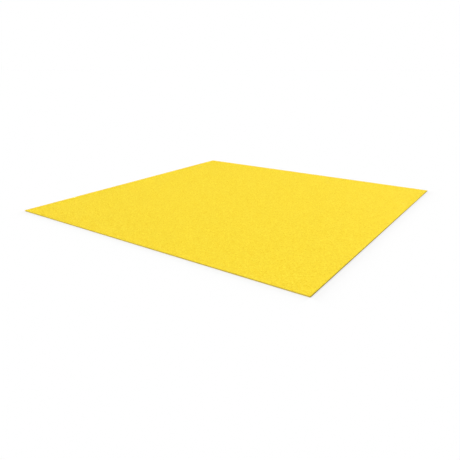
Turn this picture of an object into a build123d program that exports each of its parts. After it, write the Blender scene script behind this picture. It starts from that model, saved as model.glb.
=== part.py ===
# Fibreglass anti-slip floor plate: one square sheet of glass-reinforced plastic,
# laminated flat, gritted on its upper face and sawn to size.
# Frame: origin at the middle of the underside, +Z up out of the gritted face,
# X and Y along the sawn sides.

import os

from build123d import *

# Driving dimensions, in millimetres
plate_length = 1000.0  # sawn side along X
plate_width = 1000.0  # sawn side along Y
plate_thickness = 4.0  # underside to the crest of the grit
corner_radius = 2.0  # the four sawn corners, blunted for handling
edge_arris = 0.4  # chamfer sanded along the sawn edges, above and below

# The sheet: its sawn outline, pulled up to the crest of the grit
with BuildPart() as floor_plate:
    with BuildSketch(Plane.XY):
        RectangleRounded(plate_length, plate_width, corner_radius)
    extrude(amount=plate_thickness)

    # The saw leaves sharp rims round the underside and the gritted face
    level_faces = floor_plate.faces().filter_by(Axis.Z).sort_by(Axis.Z)
    underside, gritted_face = level_faces[0], level_faces[-1]
    chamfer(underside.edges() + gritted_face.edges(), length=edge_arris)

floor_plate.part.label = "floor_plate"

os.makedirs("parts", exist_ok=True)
export_step(floor_plate.part, "parts/floor_plate.step")
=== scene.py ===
# Fibreglass anti-slip floor plate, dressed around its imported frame: a flat sheet of
# yellow glass-reinforced plastic with crushed grit bedded in its upper resin coat.
# Everything is in metres, in the frame's own axes.

import math
from typing import NamedTuple

import bmesh
import bpy
import numpy as np
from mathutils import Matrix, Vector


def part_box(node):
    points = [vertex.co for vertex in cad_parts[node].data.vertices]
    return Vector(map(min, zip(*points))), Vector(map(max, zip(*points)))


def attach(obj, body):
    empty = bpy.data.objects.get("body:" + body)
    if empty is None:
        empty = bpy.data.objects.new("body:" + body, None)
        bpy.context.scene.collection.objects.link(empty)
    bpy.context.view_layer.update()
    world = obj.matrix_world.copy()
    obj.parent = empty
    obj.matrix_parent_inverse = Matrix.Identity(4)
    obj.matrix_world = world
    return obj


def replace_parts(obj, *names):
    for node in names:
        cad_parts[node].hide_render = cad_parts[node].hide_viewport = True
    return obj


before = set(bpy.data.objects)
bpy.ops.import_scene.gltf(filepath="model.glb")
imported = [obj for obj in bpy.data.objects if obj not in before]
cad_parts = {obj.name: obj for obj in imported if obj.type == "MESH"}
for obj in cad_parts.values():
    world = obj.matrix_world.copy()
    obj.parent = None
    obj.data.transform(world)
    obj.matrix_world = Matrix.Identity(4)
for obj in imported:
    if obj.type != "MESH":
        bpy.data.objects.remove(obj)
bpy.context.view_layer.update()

MM = 0.001

# The sheet, whose outline and overall sizes come from the frame
HALF_LENGTH, HALF_WIDTH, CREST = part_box("floor_plate")[1]
HALF_SIDES = np.array([HALF_LENGTH, HALF_WIDTH])
CORNER_RADIUS = 2.0 * MM
EDGE_ARRIS = 0.4 * MM
GRIT_STAND = 0.9 * MM  # from the resin up to the crest of the highest grains
RESIN_LEVEL = CREST - GRIT_STAND
TOP, EDGE, UNDERSIDE = range(3)  # places of the sheet's materials

# The sheet's mesh
WELD_DISTANCE = 0.001 * MM
FLAT_ANGLE = math.radians(1)  # faces that meet at a smaller angle are one face
SHARP_ANGLE = math.radians(30)  # edges with a larger angle are shaded as sharp
LEVEL_NORMAL = 0.9  # faces whose normal points up or down by more than this are level


class GrainShape(NamedTuple):
    """A grain has a triangular foot, and a crown of one to three corners."""

    crown_corners: tuple  # in degrees round the grain
    faces: tuple  # in which the foot's corners are counted first


class GritPiece(NamedTuple):
    """Grains of one shape, joined in one mesh."""

    shape: GrainShape
    count: int
    least_width: float
    greatest_width: float


# The grit is crushed stone: chips with a flat crown, wedges with a ridge and splinters with a point
FOOT_CORNERS = (0, 120, 240)
CHIP = GrainShape(
    crown_corners=(60, 180, 300),
    faces=((0, 2, 1), (3, 4, 5), (0, 1, 3), (1, 4, 3), (1, 2, 4), (2, 5, 4), (2, 0, 5), (0, 3, 5)),
)
WEDGE = GrainShape(
    crown_corners=(30, 210),
    faces=((0, 2, 1), (0, 1, 3), (1, 4, 3), (1, 2, 4), (2, 3, 4), (2, 0, 3)),
)
SPLINTER = GrainShape(
    crown_corners=(60,),
    faces=((0, 2, 1), (0, 1, 3), (1, 2, 3), (2, 0, 3)),
)
GRIT_PIECES = {
    "grit_coarse": GritPiece(CHIP, 24000, 2.8 * MM, 3.5 * MM),
    "grit_medium": GritPiece(CHIP, 24000, 2.4 * MM, 3.0 * MM),
    "grit_ridged": GritPiece(WEDGE, 32000, 2.2 * MM, 3.0 * MM),
    "grit_pointed": GritPiece(SPLINTER, 48000, 1.8 * MM, 2.6 * MM),
    "grit_fine": GritPiece(SPLINTER, 48000, 1.4 * MM, 2.2 * MM),
}
GRAIN_COUNT = sum(piece.count for piece in GRIT_PIECES.values())
GRAIN_ROOT = EDGE_ARRIS  # depth of a grain's foot below the resin
PLASTIC_NUMBER = 1.324717957244746  # its powers spread points evenly over a plane

# How the grains differ from each other
GRIT_SEED = 20
GRAIN_STRAY = 0.6  # how far a grain strays from its place, as a share of the mean spacing
FOOT_REACH = 0.58  # mean reach of the foot's corners from the middle, as a share of the width
CROWN_REACH = 0.40  # mean reach of the crown's corners
REACH_SPREAD = (0.75, 1.25)  # a corner's least and greatest reach, as shares of the mean
CORNER_STRAY = 0.3  # how far a corner strays round the grain, in radians
LEAST_STAND = 0.35  # stand of the lowest grains, as a share of the highest grain's
CROWN_SPREAD = (0.6, 1)  # a crown corner's least and greatest height, as shares of its grain's stand

# Colours are linear
YELLOW = (0.94, 0.725, 0.042)
YELLOW_DEEP = (0.815, 0.555, 0.014)
YELLOW_PALE = (0.998, 0.847, 0.083)
# the sawn edge's yellow is darker than the face's by painted shade of the upright sides
SHADED_SAWN_YELLOW = (0.655, 0.47, 0.029)
FIBRE_PALE = (0.77, 0.615, 0.125)
WHITE = (1, 1, 1)
OWN_TINT = 0.8  # how much of the way from deep to pale the grains' own tints cover

# Finishes
MATT = 0.02  # specular level of the gritted face and the sawn edge
SATIN = 0.2  # specular level of the moulded underside
NOISE_LOW = 0.3  # a noise mostly stays between these two values
NOISE_HIGH = 0.7

# The photograph's camera
CAMERA_PLACE = (0.8241, -1.2431, 0.4332)
CAMERA_TURN = math.radians(35.01)
CAMERA_DIP = math.radians(19.98)
CAMERA_LENS = 35.0
CAMERA_SENSOR = 36.0


class Lamp(NamedTuple):
    """A far lamp, with its angles in degrees."""

    share: float  # its part of the light on a level surface
    height: float
    bearing: float  # where it stands, anticlockwise from +X
    breadth: float  # how broad it looks


# Soft daylight from all round, a broad lamp in front, and weak low lamps behind and on the left
# that draw the object's shadow out over the floor
SKY_LIGHT = 0.61
LAMPS = {
    "front_lamp": Lamp(share=0.36, height=37, bearing=264, breadth=45),
    "back_lamp": Lamp(share=0.072, height=8, bearing=86, breadth=14),
    "left_lamp": Lamp(share=0.082, height=8, bearing=172, breadth=14),
}
LEVEL_LIGHT = SKY_LIGHT + sum(lamp.share for lamp in LAMPS.values())
FLOOR_SIZE = 200.0
FLOOR_BOUNCE = 0.06  # what the floor throws back at the object
FLOOR_SHADE = 0.7  # how much of the floor's white a shadow can take away


def link(obj):
    """Puts an object in the scene."""
    bpy.context.scene.collection.objects.link(obj)
    return obj


def dress(piece, *materials):
    """Puts a finished piece on the object's one body, with its materials."""
    for material in materials:
        piece.data.materials.append(material)
    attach(piece, "root")
    return piece


class Nodes:
    """The nodes of a material or of the world, with short ways to add and join them."""

    def __init__(self, owner):
        owner.use_nodes = True
        self.tree = owner.node_tree

    def set(self, socket, value):
        """Links a node's output to the socket, or writes a plain value or colour on it."""
        if isinstance(value, bpy.types.NodeSocket):
            self.tree.links.new(value, socket)
        elif isinstance(value, tuple) and socket.type == "RGBA":
            socket.default_value = (*value, 1)
        else:
            socket.default_value = value

    def add(self, kind, output, inputs, **settings):
        """Adds a node, with its settings and inputs, and gives the output that is asked for."""
        node = self.tree.nodes.new(kind)
        for name, value in settings.items():
            setattr(node, name, value)
        for name, value in inputs.items():
            self.set(node.inputs[name], value)
        return node.outputs[output]

    def maths(self, operation, *values):
        return self.add("ShaderNodeMath", "Value", dict(enumerate(values)), operation=operation)

    def seen_or_not(self, seen, unseen):
        """One brightness where the camera, a mirror or glass sees it, another where it only lights."""
        path = self.tree.nodes.new("ShaderNodeLightPath").outputs
        seen_share = path["Is Camera Ray"]
        for ray in ("Is Glossy Ray", "Is Transmission Ray"):
            seen_share = self.maths("MAXIMUM", seen_share, path[ray])
        inputs = {"Value": seen_share, "To Min": unseen, "To Max": seen}
        return self.add("ShaderNodeMapRange", "Result", inputs)


class Surface(Nodes):
    """A material of the plate, whose patterns are laid out by the place on the object."""

    def __init__(self, name, specular):
        self.material = bpy.data.materials.new(name)
        super().__init__(self.material)
        self.shader = self.tree.nodes["Principled BSDF"]
        self.set(self.shader.inputs["Specular IOR Level"], specular)
        self.place = self.add("ShaderNodeTexCoord", "Object", {})

    def scaled(self, x=1, y=1, z=1):
        """The place on the object, scaled so that factors below 1 draw a pattern out."""
        return self.add("ShaderNodeMapping", "Vector", {"Vector": self.place, "Scale": (x, y, z)})

    def noise(self, size, place=None):
        return self.add("ShaderNodeTexNoise", 0, {"Vector": place or self.place, "Scale": 1 / size})

    def cells(self, size):
        """Distance from the middle of the nearest of many packed cells of this size."""
        return self.add("ShaderNodeTexVoronoi", "Distance", {"Vector": self.place, "Scale": 1 / size})

    def spread(self, noise, low, high):
        """A noise spread out between two values, which it reaches here and there."""
        inputs = {
            "Value": noise,
            "From Min": NOISE_LOW,
            "From Max": NOISE_HIGH,
            "To Min": low,
            "To Max": high,
        }
        return self.add("ShaderNodeMapRange", "Result", inputs)

    def mixed(self, factor, first, second):
        inputs = {"Factor": factor, "A": first, "B": second}
        return self.add("ShaderNodeMix", "Result", inputs, data_type="RGBA")

    def finish(self, colour, roughness, relief, depth):
        """Sets the shader's colour, roughness and bump, and gives the finished material."""
        bumped = self.add("ShaderNodeBump", "Normal", {"Height": relief, "Distance": depth})
        for name, value in (("Base Color", colour), ("Roughness", roughness), ("Normal", bumped)):
            self.set(self.shader.inputs[name], value)
        return self.material


def coated_grit():
    """Grains wetted by the yellow resin: each has its own tint, which leans to that of its clump."""
    surface = Surface("coated_grit", MATT)
    own_tint = surface.add("ShaderNodeNewGeometry", "Random Per Island", {})
    clump_tint = surface.spread(surface.noise(size=5 * MM), low=-0.25, high=0.45)
    tint = surface.maths("MULTIPLY_ADD", own_tint, OWN_TINT, clump_tint)
    colour = surface.mixed(tint, YELLOW_DEEP, YELLOW_PALE)
    roughness = surface.spread(surface.noise(size=1 * MM), low=0.6, high=0.85)
    return surface.finish(colour, roughness, relief=surface.noise(size=0.3 * MM), depth=0.1 * MM)


def resin_coat():
    """The resin between the grains, with grit too fine to model."""
    surface = Surface("resin_coat", MATT)
    cloud = surface.noise(size=4 * MM)
    colour = surface.mixed(surface.spread(cloud, low=0, high=0.2), YELLOW, YELLOW_DEEP)
    roughness = surface.spread(cloud, low=0.55, high=0.8)
    return surface.finish(colour, roughness, relief=surface.cells(size=0.9 * MM), depth=0.3 * MM)


def sawn_edge():
    """The cut through the laminate: its plies as faint layers and the marks of the blade, in a yellow
    darkened with painted shade.
    """
    surface = Surface("sawn_edge", MATT)
    plies = surface.noise(size=0.25 * MM, place=surface.scaled(x=0.02, y=0.02))
    saw_marks = surface.noise(size=0.5 * MM, place=surface.scaled(z=0.1))
    # the edge's colour carries painted shade
    colour = surface.mixed(surface.spread(plies, low=0, high=0.5), SHADED_SAWN_YELLOW, FIBRE_PALE)
    roughness = surface.spread(plies, low=0.65, high=0.9)
    return surface.finish(colour, roughness, relief=saw_marks, depth=0.08 * MM)


def moulded_underside():
    """The smooth face that lay on the mould, with chopped strands showing through the resin."""
    surface = Surface("moulded_underside", SATIN)
    strands = surface.noise(size=3 * MM, place=surface.scaled(y=0.15))
    crossed = surface.noise(size=3 * MM, place=surface.scaled(x=0.15))
    weave = surface.maths("MAXIMUM", strands, crossed)
    colour = surface.mixed(surface.spread(weave, low=0, high=0.5), YELLOW, FIBRE_PALE)
    roughness = surface.spread(weave, low=0.4, high=0.55)
    return surface.finish(colour, roughness, relief=weave, depth=0.05 * MM)


def resin_sheet():
    """The laminate: the frame's sheet, its upper face let down to the resin between the grains."""
    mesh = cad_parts["floor_plate"].data.copy()
    mesh.name = "sheet"
    mesh.materials.clear()
    mesh.attributes.remove(mesh.attributes["custom_normal"])
    sheet = bmesh.new()
    sheet.from_mesh(mesh)
    bmesh.ops.remove_doubles(sheet, verts=sheet.verts, dist=WELD_DISTANCE)
    bmesh.ops.dissolve_limit(sheet, angle_limit=FLAT_ANGLE, verts=sheet.verts, edges=sheet.edges)
    for vert in sheet.verts:
        if vert.co.z > CREST / 2:
            vert.co.z -= GRIT_STAND
    sheet.to_mesh(mesh)
    sheet.free()
    mesh.shade_smooth()
    mesh.set_sharp_from_angle(angle=SHARP_ANGLE)
    for face in mesh.polygons:
        if face.normal.z > LEVEL_NORMAL:
            face.material_index = TOP
        elif face.normal.z < -LEVEL_NORMAL:
            face.material_index = UNDERSIDE
        else:
            face.material_index = EDGE
    return link(bpy.data.objects.new("sheet", mesh))


def grain_places(grains_before, count, rng):
    """Centres of grains that are spread evenly over the sheet, together with those before them."""
    steps = np.array([1 / PLASTIC_NUMBER, 1 / PLASTIC_NUMBER**2])
    share = np.arange(grains_before, grains_before + count)[:, None] * steps
    share += rng.uniform(-GRAIN_STRAY, GRAIN_STRAY, (count, 2)) / math.sqrt(GRAIN_COUNT)
    return (share % 1 * 2 - 1) * HALF_SIDES


def grain_points(places, widths, crown_corners, rng):
    """The corners of each grain: a triangular foot in the resin and a smaller, turned crown."""
    corners = np.radians(FOOT_CORNERS + crown_corners)
    crowns = len(crown_corners)
    size = (len(widths), len(corners))
    turn = rng.uniform(0, 2 * math.pi, (len(widths), 1))
    angle = turn + corners + rng.uniform(-CORNER_STRAY, CORNER_STRAY, size)
    share = np.array([FOOT_REACH] * len(FOOT_CORNERS) + [CROWN_REACH] * crowns)
    reach = widths[:, None] * share * rng.uniform(*REACH_SPREAD, size)
    stand = GRIT_STAND * rng.uniform(LEAST_STAND, 1, (len(widths), 1))
    z = np.full(size, RESIN_LEVEL - GRAIN_ROOT)
    z[:, -crowns:] = RESIN_LEVEL + stand * rng.uniform(*CROWN_SPREAD, (len(widths), crowns))
    x = places[:, :1] + reach * np.cos(angle)
    y = places[:, 1:] + reach * np.sin(angle)
    return np.stack([x, y, z], axis=-1).reshape(-1, 3)


def saw_off(points):
    """Draws the points that overhang the sheet back to its sawn outline and arris, in place."""
    inner = HALF_SIDES - CORNER_RADIUS
    nearest = np.clip(points[:, :2], -inner, inner)
    outward = points[:, :2] - nearest
    distance = np.linalg.norm(outward, axis=1)
    limit = CORNER_RADIUS - np.maximum(0, points[:, 2] - (CREST - EDGE_ARRIS))
    over = distance > limit
    kept = limit[over] / distance[over]
    points[over, :2] = nearest[over] + outward[over] * kept[:, None]


def grit_piece(name, piece, grains_before, rng):
    """Grains of one shape and size over the whole sheet, as one mesh of closed grains."""
    places = grain_places(grains_before, piece.count, rng)
    widths = rng.uniform(piece.least_width, piece.greatest_width, piece.count)
    points = grain_points(places, widths, piece.shape.crown_corners, rng)
    saw_off(points)
    first_corners = np.arange(0, len(points), len(points) // piece.count)
    faces = (np.array(piece.shape.faces) + first_corners[:, None, None]).reshape(-1, 3)
    mesh = bpy.data.meshes.new(name)
    mesh.from_pydata(points, [], faces, shade_flat=False)

    # The map for baked colours is the plate seen from above
    plan = points[faces.ravel(), :2] / (2 * HALF_SIDES) + 0.5
    bake_map = mesh.uv_layers.new(name="OFBake")
    bake_map.uv.foreach_set("vector", plan.astype(np.float32).ravel())
    return link(bpy.data.objects.new(name, mesh))


def studio_floor():
    """White paper: part of its white glows, so that shadows stay as faint as in the photograph."""
    material = bpy.data.materials.new("studio_floor")
    nodes = Nodes(material)
    nodes.tree.nodes.remove(nodes.tree.nodes["Principled BSDF"])
    white = nodes.seen_or_not(seen=FLOOR_SHADE / LEVEL_LIGHT, unseen=FLOOR_BOUNCE)
    glow = nodes.seen_or_not(seen=1 - FLOOR_SHADE, unseen=0)
    paper = nodes.add("ShaderNodeBsdfDiffuse", "BSDF", {"Color": white})
    glowing = nodes.add("ShaderNodeEmission", "Emission", {"Strength": glow})
    both = nodes.add("ShaderNodeAddShader", "Shader", {0: paper, 1: glowing})
    nodes.set(nodes.tree.nodes["Material Output"].inputs["Surface"], both)

    mesh = bpy.data.meshes.new("studio_floor")
    half = FLOOR_SIZE / 2
    corners = [(-half, -half, 0), (half, -half, 0), (half, half, 0), (-half, half, 0)]
    mesh.from_pydata(corners, [], [(0, 1, 2, 3)])
    mesh.materials.append(material)
    floor = link(bpy.data.objects.new("studio_floor", mesh))


def studio_light():
    """An even sky, which is white where it is seen, and the lamps."""
    world = bpy.data.worlds.new("studio")
    nodes = Nodes(world)
    sky = nodes.tree.nodes["Background"].inputs
    nodes.set(sky["Color"], WHITE)
    nodes.set(sky["Strength"], nodes.seen_or_not(seen=1, unseen=SKY_LIGHT))
    bpy.context.scene.world = world

    for name, lamp in LAMPS.items():
        sun = bpy.data.lights.new(name, "SUN")
        sun.energy = math.pi * lamp.share / math.sin(math.radians(lamp.height))
        sun.angle = math.radians(lamp.breadth)
        sun_object = link(bpy.data.objects.new(name, sun))
        sun_object.rotation_euler = (0, math.radians(90 - lamp.height), math.radians(lamp.bearing))


def photo_camera():
    """The camera at the photograph's place, with its lens."""
    camera = bpy.data.cameras.new("camera")
    camera.lens = CAMERA_LENS
    camera.sensor_width = CAMERA_SENSOR
    camera_object = link(bpy.data.objects.new("camera", camera))
    camera_object.location = CAMERA_PLACE
    camera_object.rotation_euler = (math.pi / 2 - CAMERA_DIP, 0, CAMERA_TURN)
    bpy.context.scene.camera = camera_object


# The plate: the sheet's materials come in the order of TOP, EDGE and UNDERSIDE
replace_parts(dress(resin_sheet(), resin_coat(), sawn_edge(), moulded_underside()), "floor_plate")
grain_random = np.random.default_rng(GRIT_SEED)
grit_coat = coated_grit()
grains_laid = 0
for piece_name, grit in GRIT_PIECES.items():
    dress(grit_piece(piece_name, grit, grains_laid, grain_random), grit_coat)
    grains_laid += grit.count

studio_floor()
studio_light()
photo_camera()
bpy.context.scene.view_settings.view_transform = "Standard"
